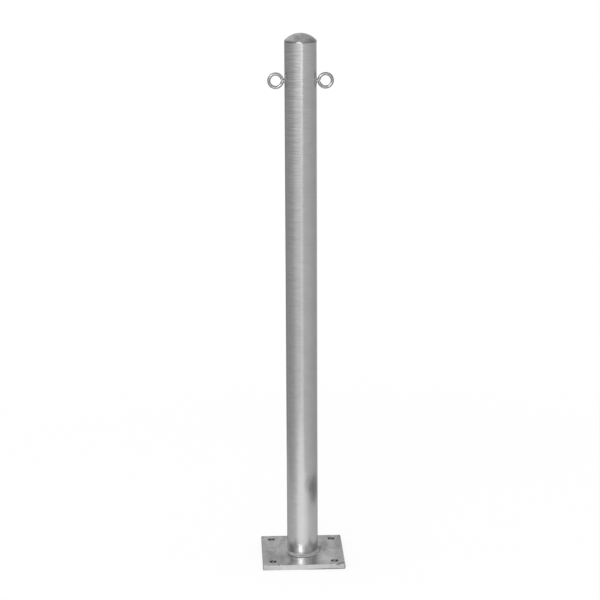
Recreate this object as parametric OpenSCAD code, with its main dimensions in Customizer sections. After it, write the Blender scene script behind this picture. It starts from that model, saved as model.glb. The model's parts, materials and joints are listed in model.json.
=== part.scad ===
// Bolt-down barrier post: a round steel tube welded upright on a square base plate,
// closed by a domed cap, with a bent wire eye on each side for a chain.
// The origin is the centre of the plate's underside. Z is up, the eyes lie along X.

/* [Post tube] */
// Outer diameter of the tube
tube_d = 60.3; // [48:0.1:90]
// Wall thickness of the tube
tube_wall = 2.5; // [2:0.1:5]
// Length of the tube, from the plate to its upper end
tube_len = 1000; // [400:5:1500]

/* [Domed cap] */
// How far the cap's rim stands out past the tube's wall
cap_lip = 0.25; // [0:0.05:1]
// Outer radius of the dome
dome_r = 40; // [34:1:90]
// Thickness of the pressed sheet
cap_sheet = 2.5; // [1.5:0.1:4]
// Height of the straight edge below the dome
cap_edge_h = 0.8; // [0.4:0.1:4]

/* [Base plate] */
// Length of the plate's sides
plate_w = 160; // [140:1:260]
// Thickness of the plate
plate_t = 10; // [6:0.5:20]
// Radius of the rolled edges at the left and the right
edge_r = 2.5; // [0.5:0.1:2.9]
// Distance between neighbouring anchor holes
hole_pitch = 120; // [115:1:122]
// Diameter of the anchor holes
hole_d = 14; // [9:0.5:16]
// Diameter of the vent and drain hole below the tube
vent_d = 30; // [15:1:40]

/* [Welds] */
// Width of the fillet weld on the plate, which is also its height on the tube
fillet_leg = 4.8; // [3:0.1:8]
// How far the fillet's face bulges past a straight one
fillet_crown = 0.5; // [0.2:0.1:1]
// Height of the seam between the tube and the cap
seam_h = 1.4; // [0.8:0.1:3]
// Depth of the hollow around the seam
seam_dip = 0.35; // [0.1:0.05:0.4]

/* [Chain eyes] */
// Diameter of the bent wire
wire_d = 6; // [4:0.1:7]
// Inner diameter of the ring
ring_inner_d = 19; // [16:0.5:40]
// Radius of the neck's bend, on the wire's centre line
neck_r = 4; // [3.8:0.1:8]
// Gap between the ring's cut end and the neck
ring_gap = 0.5; // [0.3:0.1:3]
// Height of the tube's end above the eyes
eye_drop = 72; // [40:1:200]
// Length of the threaded shank, from the neck to its tip
shank_len = 13; // [8:0.5:16]
// How much smaller the thread's outer radius is than the wire's
thread_inset = 0.05; // [0.03:0.01:0.1]
// Length of the bevel at the shank's tip
tip_bevel = 1; // [0.3:0.1:1.5]

/* [Rivet nuts] */
// Wall thickness of the nut's sleeve
nut_wall = 1.4; // [1:0.1:2]
// Width of the nut's head past the sleeve
nut_head_over = 0.9; // [0.5:0.1:2]
// Height of the nut's head on the tube's wall
nut_head_h = 0.5; // [0.3:0.1:1]
// Overall length of the set nut
nut_len = 11; // [9:0.5:14]
// Width of the set bulge past the sleeve, behind the wall
bulge_over = 1.8; // [0.5:0.1:2.5]
// Length of the set bulge
bulge_len = 2.6; // [1.5:0.1:4]

/* [Clearances] */
// Gap all round between the nut's sleeve and its hole in the tube
sleeve_gap = 0.1; // [0.05:0.05:0.3]
// Gap all round between the shank and the nut's bore
shank_gap = 0.1; // [0.05:0.05:0.3]
// Gap between the nut and the tube's wall at its two seats
seat_gap = 0.05; // [0.02:0.01:0.1]

/* [Hidden] */

$fn = 96;

// How far a cutter reaches past the face that it cuts
over = 1;

tube_r = tube_d / 2;
bore_r = tube_r - tube_wall;
tube_top = plate_t + tube_len;

// The fillet's face is an arc through both toes, whose centre lies behind the corner
// by the same distance along X and Z
fillet_half = fillet_leg / sqrt(2);
fillet_arc_r = (pow(fillet_half, 2) + pow(fillet_crown, 2)) / (2 * fillet_crown);
fillet_back = (fillet_arc_r - fillet_crown - fillet_half) / sqrt(2);

// The hollow is an arc through the seam's two edges
dip_arc_r = (pow(seam_h / 2, 2) + pow(seam_dip, 2)) / (2 * seam_dip);

cap_z = tube_top + seam_h;
cap_r = tube_r + cap_lip;

// The dome's centre lies below the upper end of the cap's straight edge, and the sheet's
// inner face is a smaller dome around the same centre
dome_drop = sqrt(pow(dome_r, 2) - pow(cap_r, 2));
dome_centre_z = cap_z + cap_edge_h - dome_drop;
cap_bore_r = sqrt(pow(dome_r - cap_sheet, 2) - pow(dome_drop, 2));

eye_z = tube_top - eye_drop;
wire_r = wire_d / 2;
thread_r = wire_r - thread_inset;
ring_r = ring_inner_d / 2 + wire_r;

// The neck's arc touches the ring's circle, so their centres lie the sum of their radii
// apart. The shank's line passes through the ring's centre, which sets the neck's lean
centres = ring_r + neck_r;
neck_lean = asin(neck_r / centres);
neck_reach = centres * cos(neck_lean);

// The angle at the ring's centre from the neck's centre to the wire's cut end, by the
// law of cosines on the end's outer corner
end_side = neck_r + wire_r + ring_gap;
corner_side = ring_r + wire_r;
end_angle = acos(
    (pow(corner_side, 2) + pow(centres, 2) - pow(end_side, 2)) / (2 * corner_side * centres)
);

// The shank's core is rooted this deep in the neck
shank_root = 0.5;

head_x = tube_r + nut_head_h;
nut_bore_r = thread_r + shank_gap;
sleeve_r = nut_bore_r + nut_wall;
sleeve_x = head_x - nut_len;
bulge_x = bore_r - seat_gap - bulge_len;

// Points on the anchor holes' axes
hole_places = [
    for (x = [-1, 1], y = [-1, 1]) [x * hole_pitch / 2, y * hole_pitch / 2]
];

// Flat bar seen along Y: its two long edges were rounded by the rolls
module bar_section() {
    side_x = plate_w / 2 - edge_r;
    union() {
        translate([-side_x, 0]) square([2 * side_x, plate_t]);
        translate([-plate_w / 2, edge_r]) square([plate_w, plate_t - 2 * edge_r]);
        for (x = [-side_x, side_x], z = [edge_r, plate_t - edge_r]) {
            translate([x, z]) circle(r = edge_r);
        }
    }
}

module base_plate() {
    color("darkgray")
    difference() {
        rotate([90, 0, 0])
        linear_extrude(plate_w, center = true) bar_section();
        for (place = hole_places) {
            translate([place.x, place.y, -over]) cylinder(d = hole_d, h = plate_t + 2 * over);
        }
        translate([0, 0, -over]) cylinder(d = vent_d, h = plate_t + 2 * over);
    }
}

module post_tube() {
    color("silver")
    difference() {
        translate([0, 0, plate_t]) cylinder(r = tube_r, h = tube_len);
        translate([0, 0, plate_t - over]) cylinder(r = bore_r, h = tube_len + 2 * over);
        translate([0, 0, eye_z])
        rotate([0, 90, 0])
        cylinder(r = sleeve_r + sleeve_gap, h = 2 * (tube_r + over), center = true);
    }
}

// Half of the section of a solid dome whose side is cut straight above the seam
module dome_section(round_r, side_r) {
    intersection() {
        translate([0, dome_centre_z]) circle(r = round_r);
        translate([0, cap_z]) square([side_r, round_r]);
    }
}

module dome_cap() {
    color("darkgray")
    rotate_extrude()
    difference() {
        dome_section(dome_r, cap_r);
        dome_section(dome_r - cap_sheet, cap_bore_r);
    }
}

module base_weld() {
    color("gray")
    rotate_extrude()
    intersection() {
        translate([tube_r, plate_t]) square(fillet_leg);
        translate([tube_r - fillet_back, plate_t - fillet_back]) circle(r = fillet_arc_r);
    }
}

module cap_weld() {
    color("gray")
    rotate_extrude()
    difference() {
        translate([bore_r, tube_top]) square([tube_wall, seam_h]);
        translate([tube_r + dip_arc_r - seam_dip, tube_top + seam_h / 2]) circle(r = dip_arc_r);
    }
}

// An arc of wire that starts at an angle and runs clockwise
module wire_arc(arc_r, start, turn) {
    rotate([180, 0, 0])
    rotate_extrude(angle = turn, start = start)
    translate([arc_r, 0]) circle(r = wire_r);
}

// One wire, drawn in the XY plane: a straight shank that ends at the origin and comes
// from -X, a neck that turns up, and a ring that runs round to its cut end below the neck
module bent_wire() {
    union() {
        translate([tip_bevel - shank_len, 0])
        rotate([0, 90, 0]) cylinder(r = thread_r, h = shank_len - tip_bevel + shank_root);
        translate([-shank_len, 0])
        rotate([0, 90, 0]) cylinder(r1 = thread_r - tip_bevel, r2 = thread_r, h = tip_bevel);
        translate([0, neck_r])
        rotate([0, 0, -neck_lean]) {
            wire_arc(neck_r, 0, 90 - neck_lean);
            translate([centres, 0]) wire_arc(ring_r, 180, 360 - end_angle);
        }
    }
}

// The neck of this eye turns up from its shank
module right_eye() {
    color("lightgray")
    translate([head_x, 0, eye_z]) rotate([90, 0, 0]) bent_wire();
}

// The same wire, screwed in half a turn further, so its neck turns down
module left_eye() {
    color("lightgray")
    translate([-head_x, 0, eye_z]) rotate([0, 180, 0]) rotate([90, 0, 0]) bent_wire();
}

// A set rivet nut along +X: the head and the bulge follow the tube's outer and inner face
module rivet_nut() {
    difference() {
        union() {
            translate([sleeve_x, 0, 0])
            rotate([0, 90, 0]) cylinder(r = sleeve_r, h = nut_len);
            difference() {
                translate([bore_r, 0, 0])
                rotate([0, 90, 0]) cylinder(r = sleeve_r + nut_head_over, h = head_x - bore_r);
                cylinder(r = tube_r + seat_gap, h = 4 * sleeve_r, center = true);
            }
            intersection() {
                translate([bulge_x, 0, 0])
                rotate([0, 90, 0]) cylinder(r = sleeve_r + bulge_over, h = tube_r - bulge_x);
                cylinder(r = bore_r - seat_gap, h = 4 * sleeve_r, center = true);
            }
        }
        translate([sleeve_x - over, 0, 0])
        rotate([0, 90, 0]) cylinder(r = nut_bore_r, h = nut_len + 2 * over);
    }
}

module right_rivet_nut() {
    color("gray")
    translate([0, 0, eye_z]) rivet_nut();
}

module left_rivet_nut() {
    color("gray")
    translate([0, 0, eye_z]) rotate([0, 0, 180]) rivet_nut();
}

base_plate();
post_tube();
dome_cap();
base_weld();
cap_weld();
left_eye();
right_eye();
left_rivet_nut();
right_rivet_nut();
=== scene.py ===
"""A bolt-down barrier post of galvanised steel, dressed and lit as a studio picture.

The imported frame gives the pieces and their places. This script gives each one its
finish, builds the pieces whose surface needs more than a plain solid, and sets the
camera, the floor and the light.
"""

import json
import logging
import math
from dataclasses import dataclass
from enum import Enum

import bmesh
import bpy
from mathutils import Matrix, Vector, noise

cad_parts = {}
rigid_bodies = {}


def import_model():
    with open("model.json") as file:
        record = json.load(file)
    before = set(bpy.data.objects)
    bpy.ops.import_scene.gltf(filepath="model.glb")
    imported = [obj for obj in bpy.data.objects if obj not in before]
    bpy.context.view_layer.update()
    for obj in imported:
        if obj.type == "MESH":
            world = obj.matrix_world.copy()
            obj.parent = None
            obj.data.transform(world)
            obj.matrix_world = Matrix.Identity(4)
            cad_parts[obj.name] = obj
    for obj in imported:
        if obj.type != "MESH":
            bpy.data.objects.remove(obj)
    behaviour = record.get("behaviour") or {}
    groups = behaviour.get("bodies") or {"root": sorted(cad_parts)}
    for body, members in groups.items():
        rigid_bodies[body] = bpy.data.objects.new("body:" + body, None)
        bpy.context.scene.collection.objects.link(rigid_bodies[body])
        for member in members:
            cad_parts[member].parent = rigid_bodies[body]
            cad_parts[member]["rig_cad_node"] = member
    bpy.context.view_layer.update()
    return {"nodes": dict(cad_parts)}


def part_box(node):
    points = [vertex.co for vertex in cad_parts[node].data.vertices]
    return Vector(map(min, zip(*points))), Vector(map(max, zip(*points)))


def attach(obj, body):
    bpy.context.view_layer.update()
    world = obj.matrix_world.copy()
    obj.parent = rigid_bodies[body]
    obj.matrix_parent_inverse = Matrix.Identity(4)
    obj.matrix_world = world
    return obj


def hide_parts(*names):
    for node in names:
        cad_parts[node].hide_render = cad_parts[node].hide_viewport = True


LOG = logging.getLogger("barrier_post")
BODY = "root"
MM = 0.001
MERGE_DISTANCE = 0.002 * MM

# Short names for the types that the signatures use
Nodes = dict[str, bpy.types.Object]
Socket = bpy.types.NodeSocket
Span = tuple[float, float]
Place = tuple[float, float, float]


class Slot(Enum):
    """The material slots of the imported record."""

    PLATE = "plate"
    TUBE = "tube"
    CAP = "cap"
    WELD = "weld"
    SEAM = "seam"
    EYE_WIRE = "eye_wire"
    NUT = "nut"


class Side(Enum):
    """The two sides of the post that carry an eye, as its node names them."""

    LEFT = "left"
    RIGHT = "right"


def grey(level: float) -> tuple[float, float, float, float]:
    """Returns a neutral colour of one linear level."""
    return (level, level, level, 1.0)


def clamped(value: float) -> float:
    """Returns a value, kept between 0 and 1."""
    return min(max(value, 0.0), 1.0)


def hump(off: float) -> float:
    """Returns 1 at an offset of 0, which eases down to 0 at an offset of 1."""
    return (1.0 - min(off, 1.0) ** 2) ** 1.5


class NodeTree:
    """A hand for adding and joining shader nodes in one tree."""

    def __init__(self, tree: bpy.types.NodeTree) -> None:
        """Takes the tree of a material, a world or a group."""
        self.tree = tree

    def add(self, kind: str, *values: object, **plain: object) -> bpy.types.Node:
        """Adds a node, sets its plain properties and feeds its first inputs.

        Args:
            kind: The node's type name, without its ShaderNode prefix.
            values: Plain values or sockets for its inputs, in order.
            plain: Properties of the node, by name.

        Returns:
            The new node.
        """
        node = self.tree.nodes.new("ShaderNode" + kind)
        for name, value in plain.items():
            setattr(node, name, value)
        for socket, value in zip(node.inputs, values):
            self.feed(socket, value)
        return node

    def feed(self, socket: Socket, value: object) -> None:
        """Sets a socket to a plain value, or links it if the value is a socket.

        Args:
            socket: The input to set.
            value: The plain value, or the output to link.
        """
        if isinstance(value, Socket):
            self.tree.links.new(value, socket)
        else:
            socket.default_value = value

    def math(self, operation: str, *values: object) -> Socket:
        """Adds a Math node, such as MULTIPLY, and returns its result."""
        return self.add("Math", *values, operation=operation).outputs[0]

    def vector_math(self, operation: str, *values: object, result: str = "Vector") -> Socket:
        """Adds a Vector Math node and returns its Vector or its Value."""
        return self.add("VectorMath", *values, operation=operation).outputs[result]

    def split(self, vector: Socket) -> bpy.types.NodeOutputs:
        """Returns the parts of a vector, by the names X, Y and Z."""
        return self.add("SeparateXYZ", vector).outputs

    def mix(self, kind: str, share: object, first: object, second: object) -> Socket:
        """Mixes colours (MixRGB) or shaders (MixShader): the first shows at a share of 0."""
        return self.add(kind, share, first, second).outputs[0]

    def shader(self, kind: str, colour: object) -> Socket:
        """Adds a plain shader of one colour, such as Emission, and returns it."""
        return self.add(kind, colour).outputs[0]

    def remap(
        self, value: Socket, source: Span, target: tuple[object, object], smooth: bool = False
    ) -> Socket:
        """Maps a value from one range to another and clamps it there.

        Args:
            value: The socket to map.
            source: The range that it is read in.
            target: The values at the two ends, as numbers or sockets.
            smooth: Whether the change eases in and out.

        Returns:
            The result's socket.
        """
        kind = "SMOOTHSTEP" if smooth else "LINEAR"
        node = self.add("MapRange", value, *source, *target, interpolation_type=kind)
        return node.outputs["Result"]

    def noise(
        self, vector: Socket, scale: object, detail: float, distortion: float = 0.0
    ) -> Socket:
        """Adds a noise pattern.

        Args:
            vector: Where the pattern is read.
            scale: Its fineness, in cells per metre, as a number or a socket.
            detail: How many finer layers it has.
            distortion: How far it is swirled.

        Returns:
            The pattern's value, around one half.
        """
        node = self.add("TexNoise", vector)
        self.feed(node.inputs["Scale"], scale)
        node.inputs["Detail"].default_value = detail
        node.inputs["Distortion"].default_value = distortion
        return node.outputs["Fac"]


class MaterialTree(NodeTree):
    """A hand for the nodes of one material, with the object's coordinates ready."""

    def __init__(self, material: bpy.types.Material) -> None:
        """Takes a material and reads the object's coordinates in it.

        Args:
            material: The material, whose nodes are turned on.
        """
        material.use_nodes = True
        super().__init__(material.node_tree)
        self.where = self.add("TexCoord").outputs["Object"]


class Effect:
    """A shader node group that several finishes share, built once by name."""

    name = ""
    inputs: tuple[tuple[str, float], ...] = ()
    outputs: tuple[str, ...] = ()

    @classmethod
    def group(cls) -> bpy.types.NodeTree:
        """Finds the effect's node group, which is built on its first use.

        Returns:
            The group.
        """
        made = bpy.data.node_groups.get(cls.name)
        if made is not None:
            return made
        made = bpy.data.node_groups.new(cls.name, "ShaderNodeTree")
        face = made.interface
        face.new_socket("Vector", in_out="INPUT", socket_type="NodeSocketVector")
        for label, start in cls.inputs:
            socket = face.new_socket(label, in_out="INPUT", socket_type="NodeSocketFloat")
            socket.default_value = start
        for label in cls.outputs:
            face.new_socket(label, in_out="OUTPUT", socket_type="NodeSocketFloat")
        source = made.nodes.new("NodeGroupInput")
        target = made.nodes.new("NodeGroupOutput")
        results = cls.build(NodeTree(made), source.outputs)
        for label, result in zip(cls.outputs, results):
            made.links.new(result, target.inputs[label])
        return made

    @classmethod
    def build(cls, hand: NodeTree, given: bpy.types.NodeOutputs) -> tuple[Socket, ...]:
        """Fills the group with nodes and returns its results, in the order of its outputs."""
        raise NotImplementedError

    @classmethod
    def place(cls, hand: NodeTree, vector: Socket, *values: float) -> tuple[Socket, ...]:
        """Puts the effect in a material and returns its outputs, in order."""
        return tuple(hand.add("Group", vector, *values, node_tree=cls.group()).outputs)


class ZincMottle(Effect):
    """The soft blotches of a dipped zinc coat, its slow waves and its fine grit."""

    name = "zinc_mottle"
    inputs = (("Blotches", 60.0), ("Grain", 600.0))
    outputs = ("Shade", "Wave", "Grit")
    flow_fineness = 2.2
    shade_mix = (0.55, 0.30, 0.15)
    wave_mix = (0.7, 0.3)

    @classmethod
    def build(cls, hand: NodeTree, given: bpy.types.NodeOutputs) -> tuple[Socket, ...]:
        """Adds broad noise, swirled noise for the frozen flow, and fine noise.

        Args:
            hand: The group's tree.
            given: The group's inputs, by label.

        Returns:
            The shade, the wave and the grit.
        """
        runs = hand.math("MULTIPLY", given["Blotches"], cls.flow_fineness)
        broad = hand.noise(given["Vector"], given["Blotches"], detail=3.0, distortion=0.6)
        flow = hand.noise(given["Vector"], runs, detail=2.0, distortion=1.4)
        fine = hand.noise(given["Vector"], given["Grain"], detail=2.0)
        most, some, little = cls.shade_mix
        shade = hand.math("MULTIPLY_ADD", broad, most, hand.math("MULTIPLY", flow, some))
        shade = hand.math("MULTIPLY_ADD", fine, little, shade)
        most, some = cls.wave_mix
        wave = hand.math("MULTIPLY_ADD", flow, some, hand.math("MULTIPLY", broad, most))
        return shade, wave, fine


class CrossMarks(Effect):
    """Fine marks that run round a tube, one above the other."""

    name = "cross_marks"
    inputs = (("Pitch", 300.0),)
    outputs = ("Mark",)
    drawn_out = (0.09, 0.09, 1.0)
    wide_fineness = 0.3
    mix = (0.8, 0.2)
    contrast = (0.33, 0.67)

    @classmethod
    def build(cls, hand: NodeTree, given: bpy.types.NodeOutputs) -> tuple[Socket, ...]:
        """Reads noise that is drawn out along X and Y and close along Z.

        Args:
            hand: The group's tree.
            given: The group's inputs, by label.

        Returns:
            The marks' pattern, from 0 to 1.
        """
        drawn = hand.vector_math("MULTIPLY", given["Vector"], cls.drawn_out)
        pitch = hand.math("MULTIPLY", given["Pitch"], cls.wide_fineness)
        close = hand.noise(drawn, given["Pitch"], detail=1.0)
        wide = hand.noise(drawn, pitch, detail=2.0)
        most, some = cls.mix
        both = hand.math("MULTIPLY_ADD", close, most, hand.math("MULTIPLY", wide, some))
        return (hand.remap(both, cls.contrast, (0.0, 1.0)),)


class SmudgeAndPaintedLight(Effect):
    """A soft-edged patch around the origin of its coordinates, for marks and for painted shade
    and highlights.
    """

    name = "smudge_and_painted_light"
    inputs = (("Roughen", 0.35),)
    outputs = ("Mask",)
    fray_fineness = 2.2
    edge = (0.2, 1.0)

    @classmethod
    def build(cls, hand: NodeTree, given: bpy.types.NodeOutputs) -> tuple[Socket, ...]:
        """Measures the distance from the origin and frays it with noise.

        Args:
            hand: The group's tree.
            given: The group's inputs, by label.

        Returns:
            The mark's mask, from 1 in its middle to 0 outside.
        """
        reach = hand.vector_math("LENGTH", given["Vector"], result="Value")
        fray = hand.noise(given["Vector"], cls.fray_fineness, detail=2.0)
        fray = hand.math("MULTIPLY", hand.math("SUBTRACT", fray, 0.5), given["Roughen"])
        return (hand.remap(hand.math("ADD", reach, fray), cls.edge, (1.0, 0.0), True),)


@dataclass(frozen=True)
class SmudgeAndPaintedLightSpot:
    """Where a mark, painted shade or a painted highlight lies on a piece, and its reach along
    each axis, both in mm.

    Its depth says how much it darkens the coat; a bright spot's depth is below 0.
    """

    place: Place
    reach: Place
    depth: float

    def mask(self, hand: MaterialTree, fray: float) -> Socket:
        """Places the spot in a material.

        Args:
            hand: The material's tree.
            fray: How ragged its edge is.

        Returns:
            The spot's mask, from 0 to 1.
        """
        place, reach = ([part * MM for part in row] for row in (self.place, self.reach))
        moved = hand.vector_math("SUBTRACT", hand.where, place)
        return SmudgeAndPaintedLight.place(hand, hand.vector_math("DIVIDE", moved, reach), fray)[0]


@dataclass(frozen=True)
class ZincFinish:
    """Galvanised or zinc-plated steel."""

    name: str
    slot: Slot
    level: float
    swing: float
    blotches: float
    grain: float
    roughness: float
    rough_swing: float
    wave: float
    grit: float
    marks: float = 0.0
    mark_pitch: float = 300.0
    mark_relief: float = 0.0
    spots: tuple[SmudgeAndPaintedLightSpot, ...] = ()
    spot_fray: float = 0.6
    shade_span: Span = (0.32, 0.68)
    rough_span: Span = (0.35, 0.65)

    def shade(self, hand: MaterialTree, mottle: Socket) -> Socket:
        """Colours the coat by its mottle and its spots: marks, painted shade and painted
        highlights.

        Args:
            hand: The material's tree.
            mottle: The mottle's shade, around one half.

        Returns:
            The coat's brightness, around its mean level.
        """
        low, high = self.level * (1 - self.swing), self.level * (1 + self.swing)
        value = hand.remap(mottle, self.shade_span, (low, high))
        for spot in self.spots:
            mask = spot.mask(hand, self.spot_fray)
            dark = hand.remap(mask, (0.0, 1.0), (1.0, 1.0 - spot.depth))
            value = hand.math("MULTIPLY", value, dark)
        return value

    def mark_mask(self, hand: MaterialTree) -> Socket | float:
        """Returns where the cross marks show, from 0 to 1."""
        return 1.0

    def relief(self, hand: MaterialTree, wave: Socket) -> Socket:
        """Returns the height pattern of the coat's slow waves."""
        return wave

    def dulled(self, hand: MaterialTree, rough: Socket) -> Socket:
        """Returns the coat's roughness, where nothing has dulled it further."""
        return rough

    def bump(
        self, hand: MaterialTree, height: Socket, distance: float, below: Socket | None
    ) -> Socket:
        """Adds a relief on top of another.

        Args:
            hand: The material's tree.
            height: The relief's pattern.
            distance: How high a pattern of 1 stands, in metres.
            below: The normal of the relief that it lies on.

        Returns:
            The normal's socket.
        """
        node = hand.add("Bump")
        node.inputs["Distance"].default_value = distance
        hand.feed(node.inputs["Height"], height)
        if below is not None:
            hand.feed(node.inputs["Normal"], below)
        return node.outputs["Normal"]

    def build(self) -> bpy.types.Material:
        """Builds the material.

        Returns:
            The material, which no piece has yet.
        """
        material = bpy.data.materials.new(self.name)
        hand = MaterialTree(material)
        steel = material.node_tree.nodes["Principled BSDF"]
        mottle, wave, grit = ZincMottle.place(hand, hand.where, self.blotches, self.grain)
        value = self.shade(hand, mottle)
        normal = self.bump(hand, self.relief(hand, wave), self.wave, None)
        normal = self.bump(hand, grit, self.grit, normal)
        if self.marks:
            (mark,) = CrossMarks.place(hand, hand.where, self.mark_pitch)
            centred = hand.math("SUBTRACT", mark, 0.5)
            shown = hand.math("MULTIPLY", centred, self.mark_mask(hand))
            factor = hand.math("MULTIPLY_ADD", shown, self.marks, 1.0)
            value = hand.math("MULTIPLY", value, factor)
            normal = self.bump(hand, shown, self.mark_relief, normal)
        colour = hand.add("CombineColor", value, value, value)
        swing = (self.roughness - self.rough_swing, self.roughness + self.rough_swing)
        rough = hand.remap(mottle, self.rough_span, swing)
        hand.feed(steel.inputs["Base Color"], colour.outputs["Color"])
        hand.feed(steel.inputs["Roughness"], self.dulled(hand, rough))
        hand.feed(steel.inputs["Normal"], normal)
        steel.inputs["Metallic"].default_value = 1.0
        return material

    def dress(self, piece: bpy.types.Object) -> None:
        """Gives a piece this finish.

        Args:
            piece: The piece, packed or built here.
        """
        made = bpy.data.materials.get(self.name) or self.build()
        piece.data.materials.clear()
        piece.data.materials.append(made)


@dataclass(frozen=True)
class MarkFade:
    """How strong the cross marks are at the two ends of a span along one axis."""

    axis: str
    span: Span
    ends: tuple[float, float]


@dataclass(frozen=True)
class TubeFinish(ZincFinish):
    """The tube's coat, whose cross marks are plain on the left and fade downwards."""

    fades: tuple[MarkFade, ...] = (
        MarkFade("X", (-12 * MM, 12 * MM), (1.0, 0.22)),
        MarkFade("X", (-30 * MM, -20 * MM), (0.4, 1.0)),
        MarkFade("Z", (0.35, 0.74), (0.55, 1.0)),
        MarkFade("Z", (0.74, 0.92), (0.50, 1.0)),
    )

    def mark_mask(self, hand: MaterialTree) -> Socket | float:
        """Fades the marks out towards the right side, the left edge and the foot.

        Args:
            hand: The material's tree.

        Returns:
            Where the marks show, from 0 to 1.
        """
        parts = hand.split(hand.where)
        shown = 1.0
        for fade in self.fades:
            share = hand.remap(parts[fade.axis], fade.span, fade.ends, True)
            shown = hand.math("MULTIPLY", shown, share)
        return shown


@dataclass(frozen=True)
class PlateFinish(ZincFinish):
    """The plate's coat, streaked by the run of the zinc, with painted shade and a dull line at
    the weld's toe.
    """

    streak_scale: Place = (1.30, 0.62, 1.0)
    streak_fineness: float = 46.0
    streak_span: Span = (0.25, 0.75)
    streak_swing: float = 0.26
    top_edge: Span = (9.55 * MM, 9.95 * MM)
    face_share: float = 0.12
    toe_r: float = 42.0 * MM
    toe_half: float = 4.0 * MM
    toe_core: float = 0.3
    toe_shade_depth: float = 0.44
    toe_roughness: float = 0.80
    toe_front: Span = (-36.0 * MM, -27.0 * MM)

    def shade(self, hand: MaterialTree, mottle: Socket) -> Socket:
        """Adds the streaks, and painted shade along the weld's toe, to the mottled coat.

        Args:
            hand: The material's tree.
            mottle: The mottle's shade, around one half.

        Returns:
            The coat's brightness.
        """
        value = super().shade(hand, mottle)
        drawn = hand.vector_math("MULTIPLY", hand.where, self.streak_scale)
        streak = hand.noise(drawn, self.streak_fineness, detail=4.0, distortion=1.2)
        streak = hand.remap(streak, self.streak_span, (-self.streak_swing, self.streak_swing))
        streak = hand.math("MULTIPLY", streak, self.top_mask(hand))
        value = hand.math("MULTIPLY", value, hand.math("ADD", streak, 1.0))
        # Painted shade in the crease at the weld's toe
        dark = hand.math("MULTIPLY", self.toe_mask(hand), self.toe_shade_depth)
        return hand.math("MULTIPLY", value, hand.math("SUBTRACT", 1.0, dark))

    def toe_mask(self, hand: MaterialTree) -> Socket:
        """Marks the dull line at the weld's toe, on the plate's front half.

        Args:
            hand: The material's tree.

        Returns:
            Where the line lies, from 0 to 1.
        """
        flat = hand.vector_math("MULTIPLY", hand.where, (1.0, 1.0, 0.0))
        reach = hand.vector_math("LENGTH", flat, result="Value")
        off = hand.math("ABSOLUTE", hand.math("SUBTRACT", reach, self.toe_r))
        core = self.toe_core * self.toe_half
        line = hand.remap(off, (core, self.toe_half), (1.0, 0.0), True)
        front = hand.remap(hand.split(hand.where)["Y"], self.toe_front, (1.0, 0.0), True)
        return hand.math("MULTIPLY", line, front)

    def top_mask(self, hand: MaterialTree) -> Socket:
        """Returns 1 on the plate's top, and little on its flat cut edges."""
        up = hand.split(hand.where)["Z"]
        return hand.remap(up, self.top_edge, (self.face_share, 1.0), True)

    def dulled(self, hand: MaterialTree, rough: Socket) -> Socket:
        """Returns the coat's roughness, which is high at the weld's toe."""
        return hand.remap(self.toe_mask(hand), (0.0, 1.0), (rough, self.toe_roughness))

    def relief(self, hand: MaterialTree, wave: Socket) -> Socket:
        """Returns the waves, kept to the plate's top, because its cut edges are flat."""
        flat = hand.math("SUBTRACT", wave, 0.5)
        return hand.math("MULTIPLY", flat, self.top_mask(hand))


@dataclass(frozen=True)
class CapFinish(ZincFinish):
    """The cap's coat, with painted shade just above its seam, and dull on its back."""

    rim: Span = (1011.2 * MM, 1014.4 * MM)
    rim_shade_depth: float = 0.36
    dull: Span = (-9.0 * MM, 3.0 * MM)
    dull_gain: float = 0.40

    def shade(self, hand: MaterialTree, mottle: Socket) -> Socket:
        """Darkens the mottled coat towards the seam with painted shade.

        Args:
            hand: The material's tree.
            mottle: The mottle's shade, around one half.

        Returns:
            The coat's brightness.
        """
        value = super().shade(hand, mottle)
        up = hand.split(hand.where)["Z"]
        # Painted shade on the cap's rim, next to the seam's groove
        rim_shade = hand.remap(up, self.rim, (1.0 - self.rim_shade_depth, 1.0), True)
        return hand.math("MULTIPLY", value, rim_shade)

    def dulled(self, hand: MaterialTree, rough: Socket) -> Socket:
        """Returns the coat's roughness, which is higher on the back of the dome."""
        along = hand.split(hand.where)["Y"]
        return hand.math("ADD", rough, hand.remap(along, self.dull, (0.0, self.dull_gain), True))


def hole_spots(off: float = 60.0, far_wall: float = 7.0) -> tuple[SmudgeAndPaintedLightSpot, ...]:
    """Places painted shade in the plate's four bolt holes, and a painted highlight on each far
    wall.

    Args:
        off: How far a hole's middle lies from the plate's, along X and along Y, in mm.
        far_wall: How far the wall lies behind the hole's middle, in mm.

    Returns:
        The spots.
    """
    middles = [(x, y) for x in (-off, off) for y in (-off, off)]
    # Painted shade darkens each hole, and a painted highlight lights its far wall
    hole_shade = [SmudgeAndPaintedLightSpot((x, y, 4), (12, 12, 9), 0.75) for x, y in middles]
    painted_glint = [SmudgeAndPaintedLightSpot((x, y + far_wall, 6.6), (4, 3, 3), -1.60) for x, y in middles]
    return tuple(hole_shade + painted_glint)


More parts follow.
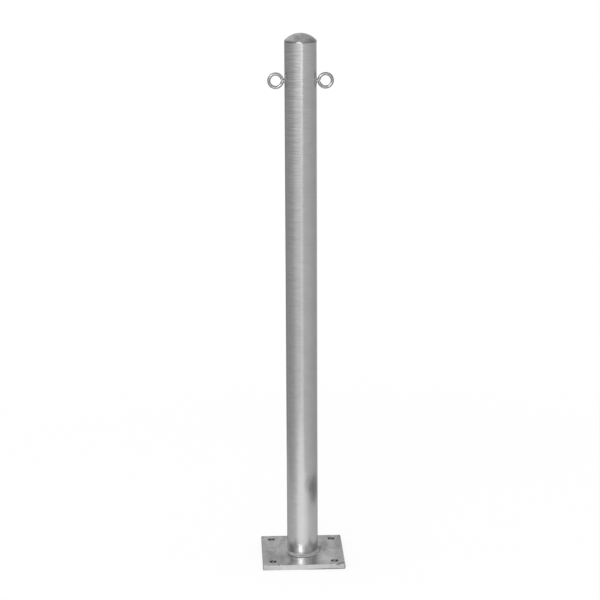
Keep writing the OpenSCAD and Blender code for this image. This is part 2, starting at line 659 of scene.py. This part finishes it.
TUBE_COAT = TubeFinish(
    name="tube_coat", slot=Slot.TUBE, level=0.63, swing=0.05, blotches=26.0, grain=160.0,
    roughness=0.25, rough_swing=0.015, wave=0.15 * MM, grit=0.002 * MM, marks=0.27,
    mark_pitch=400.0, mark_relief=0.004 * MM,
    spots=(
        # Two darker patches low on the tube's front right
        SmudgeAndPaintedLightSpot((22.5, -19.5, 142), (16, 27, 42), 0.46),
        SmudgeAndPaintedLightSpot((12, -27, 156), (13, 20, 24), 0.16),
    ),
)
PLATE_COAT = PlateFinish(
    name="plate_coat", slot=Slot.PLATE, level=0.65, swing=0.10, blotches=60.0, grain=450.0,
    roughness=0.30, rough_swing=0.04, wave=0.55 * MM, grit=0.01 * MM,
    spots=(
        SmudgeAndPaintedLightSpot((-52, -36, 10), (62, 48, 4), 0.20),
        # Painted shade on the plate beside the weld's lap, right of the tube
        SmudgeAndPaintedLightSpot((43, 17, 10), (19, 40, 4), 0.24),
        SmudgeAndPaintedLightSpot((35, 11, 10), (7.5, 15, 4), 0.50),
        # A painted reflection: brightens the plate where it mirrors the tube's darker left side
        SmudgeAndPaintedLightSpot((-23, -56, 10), (13, 30, 4), -0.42),
        SmudgeAndPaintedLightSpot((45, -50, 10), (24, 30, 4), -0.16),
        SmudgeAndPaintedLightSpot((-10, -80, 5), (150, 3, 50), 0.10),
        # Painted shade in the gouge at the front right corner
        SmudgeAndPaintedLightSpot((66, -79.5, 9.5), (5, 4, 3), 0.42),
        SmudgeAndPaintedLightSpot((71, -75.5, 9.8), (7, 6, 3), 0.42),
        SmudgeAndPaintedLightSpot((76.5, -70, 9.8), (4.5, 6, 3), 0.42),
        SmudgeAndPaintedLightSpot((-49, -77.5, 10), (4, 6, 2), 0.50),
        # A painted contact shadow along the bottom of the front face, on the right
        SmudgeAndPaintedLightSpot((45, -80, -0.2), (64, 4, 2.6), 0.80),
        # Painted shade on the rounded front corners, whose curve mirrors darker surroundings
        SmudgeAndPaintedLightSpot((79, -80, 5), (2.6, 6, 10), 0.45),
        SmudgeAndPaintedLightSpot((-79.5, -80, 5), (2.2, 6, 9), 0.42),
        SmudgeAndPaintedLightSpot((-77, 74, 10), (4.5, 8, 3), 0.35),
        SmudgeAndPaintedLightSpot((76.5, 74, 10), (3.5, 8, 3), 0.45),
    ) + hole_spots(),
)
CAP_COAT = CapFinish(
    name="cap_coat", slot=Slot.CAP, level=0.68, swing=0.28, blotches=120.0, grain=500.0,
    roughness=0.33, rough_swing=0.05, wave=0.45 * MM, grit=0.03 * MM,
    spots=(
        # Painted shade low on the dome's right, a painted highlight on its left, and painted
        # shade at its rim on the left
        SmudgeAndPaintedLightSpot((16, -17, 1014), (23, 20, 6), 0.27),
        SmudgeAndPaintedLightSpot((-19, -12, 1018), (15, 20, 6), -0.15),
        SmudgeAndPaintedLightSpot((-23, -17, 1012.7), (6, 8, 2.2), 0.20),
        SmudgeAndPaintedLightSpot((-8, -20, 1017), (5, 5, 3), 0.25),
        SmudgeAndPaintedLightSpot((6, -12, 1021), (4, 4, 3), 0.22),
        # A painted highlight on the rim in front, where the tube's highlight runs up
        SmudgeAndPaintedLightSpot((-4, -30, 1011.5), (7.5, 6, 2.2), -0.60),
    ),
)
# The bead's level, well above the tube's, is painted light: a lighter copy of the zinc coat
# standing in for the bead's brighter reflection
BEAD_COAT = ZincFinish(
    name="bead_coat", slot=Slot.WELD, level=0.84, swing=0.08, blotches=160.0, grain=900.0,
    roughness=0.36, rough_swing=0.04, wave=0.1 * MM, grit=0.01 * MM,
    spots=(
        # Painted shade on the weld's lap at the right; the next spot darkens the bead's left
        # front
        SmudgeAndPaintedLightSpot((33.5, 6, 12), (9.5, 21, 10), 0.78),
        SmudgeAndPaintedLightSpot((-29, -18, 12.5), (11, 15, 9), 0.34),
    ),
)
# The seam's low level is painted shade in its groove under the cap's lip
SEAM_COAT = ZincFinish(
    name="seam_coat", slot=Slot.SEAM, level=0.26, swing=0.20, blotches=160.0, grain=900.0,
    roughness=0.27, rough_swing=0.04, wave=0.1 * MM, grit=0.01 * MM,
    spots=(
        # A painted highlight where the seam catches the front light
        SmudgeAndPaintedLightSpot((-4, -30, 1010.7), (8, 6, 3), -2.40),
    ),
)
WIRE_COAT = ZincFinish(
    name="wire_coat", slot=Slot.EYE_WIRE, level=0.46, swing=0.12, blotches=160.0, grain=900.0,
    roughness=0.26, rough_swing=0.04, wave=0.03 * MM, grit=0.003 * MM,
)
NUT_COAT = ZincFinish(
    name="nut_coat", slot=Slot.NUT, level=0.50, swing=0.06, blotches=150.0, grain=900.0,
    roughness=0.28, rough_swing=0.04, wave=0.05 * MM, grit=0.005 * MM,
)


def piece_from(shape: bmesh.types.BMesh, name: str) -> bpy.types.Object:
    """Turns a finished bmesh into a smooth-shaded object at the origin.

    Args:
        shape: The mesh, in place and in metres. It is freed.
        name: The piece's name.

    Returns:
        The new object, riding on the post's body.
    """
    for face in shape.faces:
        face.smooth = True
    mesh = bpy.data.meshes.new(name)
    shape.to_mesh(mesh)
    shape.free()
    piece = bpy.data.objects.new(name, mesh)
    bpy.context.scene.collection.objects.link(piece)
    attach(piece, BODY)
    return piece


def bearing(point: Vector) -> float:
    """Returns a point's angle round the post in degrees: 0 at the front, 90 at the right."""
    return math.degrees(math.atan2(point.x, -point.y))


@dataclass
class PostTube:
    """The round tube with the two rivet nuts in its wall."""

    node: str = "post_tube"
    nut_nodes: tuple[str, ...] = ("left_rivet_nut", "right_rivet_nut")

    def build(self, nodes: Nodes) -> None:
        """Dresses the tube and the nuts, whose solids are shown as they are.

        Args:
            nodes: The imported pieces, by node.
        """
        TUBE_COAT.dress(nodes[self.node])
        LOG.info("tube dressed: %s", self.node)
        for name in self.nut_nodes:
            NUT_COAT.dress(nodes[name])
            LOG.info("nut dressed: %s", name)


@dataclass
class BasePlate:
    """The square plate, with its cut edges broken and a dent in its front right corner."""

    node: str = "base_plate"
    edge_break: float = 0.35 * MM
    sharp: float = math.radians(40)
    flat: float = math.radians(1)
    rows_x: range = range(60, 80)
    rows_y: range = range(64, 80)
    rows_z: tuple[float, ...] = (6.0, 7.5, 8.8)
    dent_from: tuple[float, float] = (65.0 * MM, -81.0 * MM)
    dent_to: tuple[float, float] = (78.0 * MM, -69.0 * MM)
    dent_half: float = 2.4 * MM
    dent_depth: float = 1.2 * MM
    dent_ease: float = 0.6
    dent_foot: float = 4.0 * MM
    dent_height: float = 6.0 * MM
    rim_height: float = 0.25 * MM
    rim_off: float = 1.9
    rim_sharpness: float = 3.0

    def copied(self, nodes: Nodes) -> bmesh.types.BMesh:
        """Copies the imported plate's mesh and merges its flat parts.

        Args:
            nodes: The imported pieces, by node.

        Returns:
            The copy.
        """
        shape = bmesh.new()
        shape.from_mesh(nodes[self.node].data)
        bmesh.ops.remove_doubles(shape, verts=shape.verts, dist=MERGE_DISTANCE)
        bmesh.ops.dissolve_limit(
            shape, angle_limit=self.flat, verts=shape.verts, edges=shape.edges,
            delimit={"SHARP"},
        )
        return shape

    def break_edges(self, shape: bmesh.types.BMesh) -> None:
        """Bevels each sharp edge a little, as grinding and the zinc coat leave it.

        Args:
            shape: The plate's mesh.
        """
        edges = [
            edge for edge in shape.edges
            if len(edge.link_faces) == 2 and edge.calc_face_angle() > self.sharp
        ]
        bmesh.ops.bevel(
            shape, geom=edges, offset=self.edge_break, offset_type="OFFSET", segments=2,
            profile=0.5, affect="EDGES", clamp_overlap=True, material=-1,
        )

    def cut_rows(self, shape: bmesh.types.BMesh) -> None:
        """Cuts rows into the plate around the dent, so that it can be pushed in.

        Args:
            shape: The plate's mesh.
        """
        rows = [(Vector((step * MM, 0, 0)), Vector((1, 0, 0))) for step in self.rows_x]
        rows += [(Vector((0, -step * MM, 0)), Vector((0, 1, 0))) for step in self.rows_y]
        rows += [(Vector((0, 0, step * MM)), Vector((0, 0, 1))) for step in self.rows_z]
        for place, normal in rows:
            everything = shape.verts[:] + shape.edges[:] + shape.faces[:]
            bmesh.ops.bisect_plane(
                shape, geom=everything, dist=0.001 * MM, plane_co=place, plane_no=normal
            )

    def dent_fall(self, place: Vector) -> float:
        """Returns how far a point of the plate sinks, which is less than 0 on the rim.

        Args:
            place: The point.

        Returns:
            The distance down, in metres.
        """
        start, end = Vector(self.dent_from), Vector(self.dent_to)
        run = end - start
        flat = Vector((place.x, place.y))
        share = clamped((flat - start).dot(run) / run.length_squared)
        off = (flat - start - run * share).length / self.dent_half
        hollow = self.dent_depth * (1.0 - self.dent_ease * share) * math.exp(-off * off)
        rim = self.rim_height * math.exp(-((off - self.rim_off) ** 2) * self.rim_sharpness)
        reach = clamped((place.z - self.dent_foot) / self.dent_height)
        return (hollow - rim) * reach * reach

    def push_dent(self, shape: bmesh.types.BMesh) -> None:
        """Sinks the gouge across the front right corner, within the plate's own box.

        Args:
            shape: The plate's mesh.
        """
        top = max(vert.co.z for vert in shape.verts)
        for vert in shape.verts:
            vert.co.z = min(vert.co.z - self.dent_fall(vert.co), top)

    def build(self, nodes: Nodes) -> None:
        """Builds the plate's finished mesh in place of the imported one.

        Args:
            nodes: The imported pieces, by node.
        """
        shape = self.copied(nodes)
        self.break_edges(shape)
        self.cut_rows(shape)
        self.push_dent(shape)
        bmesh.ops.triangulate(shape, faces=shape.faces)
        piece = piece_from(shape, "dipped_plate")
        flat = piece.modifiers.new("flat_faces", "WEIGHTED_NORMAL")
        flat.keep_sharp = False
        flat.weight = 100
        PLATE_COAT.dress(piece)
        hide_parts(self.node)
        LOG.info("plate built: %d faces", len(piece.data.polygons))


@dataclass
class WeldBead:
    """The rippled fillet weld round the tube's foot.

    Its lap, where the weld was closed, lies at the right, a slim stretch at the left, and
    its widest part in front. Bearings are in degrees.
    """

    node: str = "base_weld"
    steps: int = 420
    arc_steps: int = 8
    crown: float = 0.15 * MM
    ripple_pitch: float = 2.7 * MM
    ripple: float = 0.07 * MM
    ripple_curve: float = 0.7
    wander: float = 0.20 * MM
    wander_turns: float = 3.1
    lap_from: float = 33.0
    lap_rise: float = 4.0
    lap_to: float = 112.0
    lap_fall: float = 45.0
    lap_growth: float = 0.45 * MM
    slim_at: float = -88.0
    slim_half: float = 48.0
    slim_loss: float = 0.66
    front_half: float = 62.0
    front_spread: float = 0.85
    front_drop: float = 0.34
    front_crown: float = 0.70 * MM
    root_share: float = 0.3
    seat: float = 0.01 * MM

    def swelling(self, angle: float, ring: float) -> float:
        """Returns how far the bead's face stands out at a bearing.

        Args:
            angle: The bearing round the post.
            ring: The bead's middle radius.

        Returns:
            The distance, in metres.
        """
        along = math.radians(angle) * ring
        phase = (along / self.ripple_pitch) % 1.0
        scale = self.ripple * (1.0 - phase) ** self.ripple_curve
        spot = Vector((math.sin(math.radians(angle)), math.cos(math.radians(angle)), 0.0))
        drift = self.wander * noise.noise(spot * self.wander_turns)
        rise = clamped((angle - self.lap_from) / self.lap_rise)
        fall = clamped((self.lap_to - angle) / self.lap_fall)
        return scale + drift + self.lap_growth * rise * fall

    def front_share(self, angle: float) -> float:
        """Returns how far a bearing counts as the front, from 1 there to 0 at the sides."""
        return hump(abs(angle) / self.front_half)

    def leg_shares(self, angle: float) -> Vector:
        """Returns how much of the fillet's two legs a bearing has.

        Args:
            angle: The bearing round the post.

        Returns:
            The share of the leg on the plate and of the leg on the tube.
        """
        slim = 1.0 - self.slim_loss * hump(abs(angle - self.slim_at) / self.slim_half)
        front = self.front_share(angle)
        return Vector((slim + self.front_spread * front, slim - self.front_drop * front))

    def plain_ring(self, low: Vector, high: Vector) -> bmesh.types.BMesh:
        """Spins the fillet's plain section round the post.

        Args:
            low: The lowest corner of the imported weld's box.
            high: Its highest corner.

        Returns:
            The closed ring.
        """
        leg = high.z - low.z
        inner = high.x - leg
        half = leg / math.sqrt(2)
        arc_r = (half**2 + self.crown**2) / (2 * self.crown)
        back = (arc_r - self.crown - half) / math.sqrt(2)
        shape = bmesh.new()
        toe = shape.verts.new((high.x, 0, low.z))
        bmesh.ops.spin(
            shape, geom=[toe], cent=(inner - back, 0, low.z - back), axis=(0, -1, 0),
            angle=2 * math.asin(half / arc_r), steps=self.arc_steps, use_merge=False,
            use_duplicate=False,
        )
        corner = shape.verts.new((inner, 0, low.z))
        top = max((v for v in shape.verts if v is not corner), key=lambda v: v.co.z)
        shape.edges.new((corner, toe))
        shape.edges.new((corner, top))
        bmesh.ops.spin(
            shape, geom=shape.verts[:] + shape.edges[:], cent=(0, 0, 0), axis=(0, 0, 1),
            angle=math.tau, steps=self.steps, use_merge=True, use_duplicate=False,
        )
        bmesh.ops.remove_doubles(shape, verts=shape.verts, dist=MERGE_DISTANCE)
        bmesh.ops.recalc_face_normals(shape, faces=shape.faces)
        return shape

    def swollen(
        self, place: Vector, root: tuple[float, float], leg: float, ring: float
    ) -> Vector:
        """Pushes a point of the plain ring's face out, and keeps it on plate and tube.

        Args:
            place: The point.
            root: The radius and the height of the corner between tube and plate.
            leg: The plain fillet's leg.
            ring: The bead's middle radius.

        Returns:
            The point's new place.
        """
        flat = Vector((math.hypot(place.x, place.y), place.z))
        heart = Vector(root)
        if (flat - heart).length < self.root_share * leg:
            return place
        angle = bearing(place)
        legs = self.leg_shares(angle)
        plain = (flat - heart).normalized()
        flat = heart + Vector(((flat.x - heart.x) * legs.x, (flat.y - heart.y) * legs.y))
        out = (flat - heart).normalized()
        bulge = self.front_crown * self.front_share(angle) * 2.0 * plain.x * plain.y
        push = self.swelling(angle, ring) + bulge
        reach = flat.x + max(out.x, 0.0) * push
        if flat.x < root[0] + self.seat:
            reach = root[0]
        height = flat.y + max(out.y, 0.0) * push
        if flat.y < root[1] + self.seat:
            height = root[1]
        turn = math.atan2(place.y, place.x)
        return Vector((reach * math.cos(turn), reach * math.sin(turn), height))

    def build(self) -> None:
        """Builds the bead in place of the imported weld, which gives it its size."""
        low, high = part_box(self.node)
        leg = high.z - low.z
        root = (high.x - leg, low.z)
        ring = (root[0] + high.x) / 2
        shape = self.plain_ring(low, high)
        for vert in shape.verts:
            vert.co = self.swollen(vert.co, root, leg, ring)
        piece = piece_from(shape, "foot_weld_bead")
        BEAD_COAT.dress(piece)
        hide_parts(self.node)
        LOG.info("weld bead built: %d faces", len(piece.data.polygons))


@dataclass
class DomeCap:
    """The pressed cap and the seam below it, both shown as they are packed."""

    node: str = "dome_cap"
    seam_node: str = "cap_weld"

    def build(self, nodes: Nodes) -> None:
        """Dresses the cap and its seam.

        Args:
            nodes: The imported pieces, by node.
        """
        CAP_COAT.dress(nodes[self.node])
        SEAM_COAT.dress(nodes[self.seam_node])
        LOG.info("cap and seam dressed")


@dataclass
class ChainEye:
    """One bent wire eye."""

    side: Side

    @property
    def node(self) -> str:
        """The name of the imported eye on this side."""
        return f"{self.side.value}_eye"

    def build(self, nodes: Nodes) -> None:
        """Dresses the eye, whose solid is shown as it is."""
        WIRE_COAT.dress(nodes[self.node])
        LOG.info("eye dressed: %s", self.node)


@dataclass
class PhotoCamera:
    """The camera at the photograph's place, as it was fitted to the post's known sizes."""

    distance: float = 3.5418
    height: float = 1.37685
    turn: float = 2.332
    pitch: float = 13.634
    yaw: float = -0.046
    roll: float = -0.242
    focal_pixels: float = 1905.36
    picture_pixels: float = 600.0
    sensor: float = 36.0
    clip_end: float = 50.0

    def build(self) -> None:
        """Creates the camera and makes it the scene's own."""
        turn, pitch = math.radians(self.turn), math.radians(self.pitch)
        heading, roll = turn + math.radians(self.yaw), math.radians(self.roll)
        place = Vector((-math.sin(turn), -math.cos(turn), 0)) * self.distance
        place.z = self.height
        ahead = Vector((
            math.sin(heading) * math.cos(pitch), math.cos(heading) * math.cos(pitch),
            -math.sin(pitch),
        ))
        level = Vector((math.cos(heading), -math.sin(heading), 0))
        upright = level.cross(ahead)
        right = level * math.cos(roll) + upright * math.sin(roll)
        up = upright * math.cos(roll) - level * math.sin(roll)
        data = bpy.data.cameras.new("photo_camera")
        data.sensor_width = self.sensor
        data.lens = self.focal_pixels * self.sensor / self.picture_pixels
        data.clip_end = self.clip_end
        camera = bpy.data.objects.new("photo_camera", data)
        turned = Matrix((right, up, -ahead)).transposed().to_4x4()
        camera.matrix_world = Matrix.Translation(place) @ turned
        bpy.context.scene.collection.objects.link(camera)
        bpy.context.scene.camera = camera
        LOG.info("camera set %.2f m away", self.distance)


@dataclass(frozen=True)
class Softbox:
    """One soft lamp, placed by its bearing, height and distance from the post."""

    name: str
    bearing: float
    height: float
    distance: float
    width: float
    tall: float
    power: float
    aim: float = 0.5

    def build(self) -> None:
        """Creates the lamp, turned towards the post."""
        angle = math.radians(self.bearing)
        place = Vector((math.sin(angle), -math.cos(angle), 0)) * self.distance
        place.z = self.height
        data = bpy.data.lights.new(self.name, "AREA")
        data.shape = "RECTANGLE"
        data.size = self.width
        data.size_y = self.tall
        data.energy = self.power
        lamp = bpy.data.objects.new(self.name, data)
        lamp.visible_camera = False
        lamp.location = place
        lamp.rotation_mode = "QUATERNION"
        towards = Vector((0, 0, self.aim)) - place
        lamp.rotation_quaternion = towards.to_track_quat("-Z", "Y")
        bpy.context.scene.collection.objects.link(lamp)
        LOG.info("lamp placed: %s", self.name)


@dataclass(frozen=True)
class WallTone:
    """The studio walls' brightness at one bearing round the post."""

    bearing: float
    level: float


def wall_tones(*pairs: tuple[float, float]) -> tuple[WallTone, ...]:
    """Returns the wall tones for pairs of a bearing and a level."""
    return tuple(WallTone(*pair) for pair in pairs)


@dataclass(frozen=True)
class FloorCard:
    """The white card that the post stands on, as the metal mirrors it: its tones are a painted
    pool of light, brightest in front.
    """

    left: float = 0.47
    left_slant: float = 0.14
    right: float = 0.34
    right_slant: float = 0.31
    front: float = 0.88
    back: float = 0.60
    soft: float = 0.06
    tones: tuple[WallTone, ...] = wall_tones(
        (-180, 0.40), (-120, 0.48), (-80, 0.55), (-50, 0.66), (-25, 1.02), (0, 1.04),
        (25, 0.90), (50, 0.67), (80, 0.60), (120, 0.53), (180, 0.40),
    )


@dataclass
class Studio:
    """The pale floor, the studio's walls and the lamps."""

    floor_r: float = 1.6
    floor_fade: float = 0.6
    floor_steps: int = 96
    floor_drop: float = 0.5 * MM
    open_light: float = 1.0
    shaded_half: float = 79.0 * MM
    card: FloorCard = FloorCard()
    low_walls: tuple[WallTone, ...] = wall_tones(
        (-180, 0.20), (-150, 0.27), (-125, 0.36), (-100, 0.36), (-80, 0.41), (-62, 0.45),
        (-45, 0.60), (-30, 0.68), (-17, 0.67), (-6, 0.79), (6, 0.88), (14, 0.55), (22, 0.60),
        (36, 0.58), (55, 0.55), (78, 0.50), (105, 0.46), (135, 0.40), (158, 0.75),
        (180, 0.20),
    )
    high_walls: tuple[WallTone, ...] = wall_tones(
        (-180, 0.52), (-135, 0.53), (-90, 0.13), (-50, 0.65), (-20, 0.60), (20, 0.50),
        (50, 0.55), (90, 0.17), (135, 0.30), (180, 0.52),
    )
    ceiling: float = 0.39
    lamps: tuple[Softbox, ...] = (
        Softbox("front_lamp", -15.5, 2.40, 6.0, 2.3, 1.2, 66.0),
        Softbox("front_strip", 6.6, 1.55, 3.6, 0.24, 1.9, 4.2, 1.55),
        Softbox("left_lamp", -40.0, 2.6, 2.8, 0.9, 0.9, 8.0),
    )
    low_to_high: Span = (-0.05, 0.35)
    high_to_ceiling: Span = (0.65, 0.95)
    paper_level: float = 0.9
    glow_share: float = 0.85

    def tone_ramp(self, hand: NodeTree, place: Socket, tones: tuple[WallTone, ...]) -> Socket:
        """Adds a ramp of wall tones.

        Args:
            hand: The tree to work in.
            place: The bearing, from 0 to 1 round the post.
            tones: The tones, in order of their bearings.

        Returns:
            The ramp's colour.
        """
        node = hand.add("ValToRGB", place)
        ramp = node.color_ramp
        while len(ramp.elements) < len(tones):
            ramp.elements.new(0.5)
        for element, tone in zip(ramp.elements, tones):
            element.position = (tone.bearing + 180) / 360
            element.color = grey(tone.level)
        return node.outputs["Color"]

    def bearing_share(self, hand: NodeTree, parts: bpy.types.NodeOutputs) -> Socket:
        """Finds the bearing round the post.

        Args:
            hand: The tree to work in.
            parts: The X, Y and Z of the place or direction that is looked at.

        Returns:
            The bearing, from 0 at the back through 0.5 in front to 1.
        """
        forward = hand.math("MULTIPLY", parts["Y"], -1.0)
        turned = hand.math("ARCTAN2", parts["X"], forward)
        return hand.remap(turned, (-math.pi, math.pi), (0.0, 1.0))

    def walls(self) -> None:
        """Paints the world: white to the camera, and toned walls in the post's gloss."""
        world = bpy.data.worlds.new("studio")
        bpy.context.scene.world = world
        world.use_nodes = True
        world.node_tree.nodes.clear()
        hand = NodeTree(world.node_tree)
        parts = hand.split(hand.add("TexCoord").outputs["Generated"])
        place = self.bearing_share(hand, parts)
        low = self.tone_ramp(hand, place, self.low_walls)
        high = self.tone_ramp(hand, place, self.high_walls)
        rise = hand.remap(parts["Z"], self.low_to_high, (0.0, 1.0), True)
        top = hand.remap(parts["Z"], self.high_to_ceiling, (0.0, 1.0), True)
        tone = hand.mix("MixRGB", rise, low, high)
        tone = hand.mix("MixRGB", top, tone, grey(self.ceiling))
        path = hand.add("LightPath").outputs
        tone = hand.mix("MixRGB", path["Is Glossy Ray"], grey(self.open_light), tone)
        tone = hand.mix("MixRGB", path["Is Camera Ray"], tone, grey(1.0))
        hand.add("OutputWorld", hand.shader("Background", tone))

    def card_mask(self, hand: NodeTree, parts: bpy.types.NodeOutputs) -> Socket:
        """Marks the card that the metal mirrors, with soft edges.

        Args:
            hand: The floor's tree.
            parts: The X, Y and Z of the place on the floor.

        Returns:
            Where the card lies, from 0 to 1.
        """
        card, across, along = self.card, parts["X"], parts["Y"]
        mirrored = hand.math("MULTIPLY", across, -1.0)
        to_left = hand.math("MULTIPLY_ADD", along, -card.left_slant, mirrored)
        to_right = hand.math("MULTIPLY_ADD", along, -card.right_slant, across)
        mask = 1.0
        for place, edge, ends in (
            (to_left, card.left, (1.0, 0.0)),
            (to_right, card.right, (1.0, 0.0)),
            (along, -card.front, (0.0, 1.0)),
            (along, card.back, (1.0, 0.0)),
        ):
            side = hand.remap(place, (edge - card.soft, edge + card.soft), ends, True)
            mask = hand.math("MULTIPLY", mask, side)
        return mask

    def open_mask(self, hand: NodeTree, parts: bpy.types.NodeOutputs) -> Socket:
        """Tells the paper in the plate's shade from the open paper.

        Args:
            hand: The floor's tree.
            parts: The X, Y and Z of the place on the floor.

        Returns:
            0 under the plate and 1 outside.
        """
        across = hand.math("ABSOLUTE", parts["X"])
        along = hand.math("ABSOLUTE", parts["Y"])
        widest = hand.math("MAXIMUM", across, along)
        return hand.math("GREATER_THAN", widest, self.shaded_half)

    def paper(self) -> bpy.types.Material:
        """Builds the floor's paper: white to the camera, and a toned card to the gloss.

        Returns:
            The paper's material.
        """
        material = bpy.data.materials.new("floor_paper")
        material.use_nodes = True
        material.node_tree.nodes.clear()
        hand = MaterialTree(material)
        path = hand.add("LightPath").outputs
        reach = hand.vector_math("LENGTH", hand.where, result="Value")
        edge = (self.floor_r - self.floor_fade, self.floor_r)
        near = hand.remap(reach, edge, (1.0, 0.0), True)
        parts = hand.split(hand.where)
        open_floor = self.open_mask(hand, parts)
        plain = hand.shader("BsdfDiffuse", grey(self.paper_level))
        clear = hand.shader("BsdfTransparent", grey(1.0))
        glow = hand.shader("Emission", grey(1.0))
        # The card glows with a painted pool of light, brightest in front, seen only in the gloss
        tone = self.tone_ramp(hand, self.bearing_share(hand, parts), self.card.tones)
        card = hand.shader("Emission", tone)
        mirrored = hand.mix("MixShader", self.card_mask(hand, parts), clear, card)
        mirrored = hand.mix("MixShader", open_floor, plain, mirrored)
        share = hand.math("MULTIPLY", open_floor, self.glow_share)
        seen = hand.mix("MixShader", share, plain, glow)
        seen = hand.mix("MixShader", near, clear, seen)
        result = hand.mix("MixShader", path["Is Camera Ray"], plain, seen)
        result = hand.mix("MixShader", path["Is Glossy Ray"], result, mirrored)
        hand.add("OutputMaterial", result)
        return material

    def floor(self) -> None:
        """Lays the round pale floor, which keeps a trace of the post's shadow."""
        shape = bmesh.new()
        bmesh.ops.create_circle(
            shape, cap_ends=True, segments=self.floor_steps, radius=self.floor_r
        )
        mesh = bpy.data.meshes.new("floor")
        shape.to_mesh(mesh)
        shape.free()
        mesh.materials.append(self.paper())
        floor = bpy.data.objects.new("floor", mesh)
        floor.location.z = -self.floor_drop
        bpy.context.scene.collection.objects.link(floor)
        LOG.info("floor laid")

    def build(self) -> None:
        """Sets the plain view, the walls, the floor and the lamps."""
        bpy.context.scene.view_settings.view_transform = "Standard"
        self.walls()
        self.floor()
        for lamp in self.lamps:
            lamp.build()


def main() -> None:
    """Loads the frame and builds the camera, the studio and the post's pieces in order."""
    logging.basicConfig(level=logging.INFO, format="%(message)s")
    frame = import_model()
    nodes = frame["nodes"]
    PhotoCamera().build()
    Studio().build()
    PostTube().build(nodes)
    BasePlate().build(nodes)
    WeldBead().build()
    DomeCap().build(nodes)
    for side in Side:
        ChainEye(side).build(nodes)


if __name__ == "__main__":
    main()
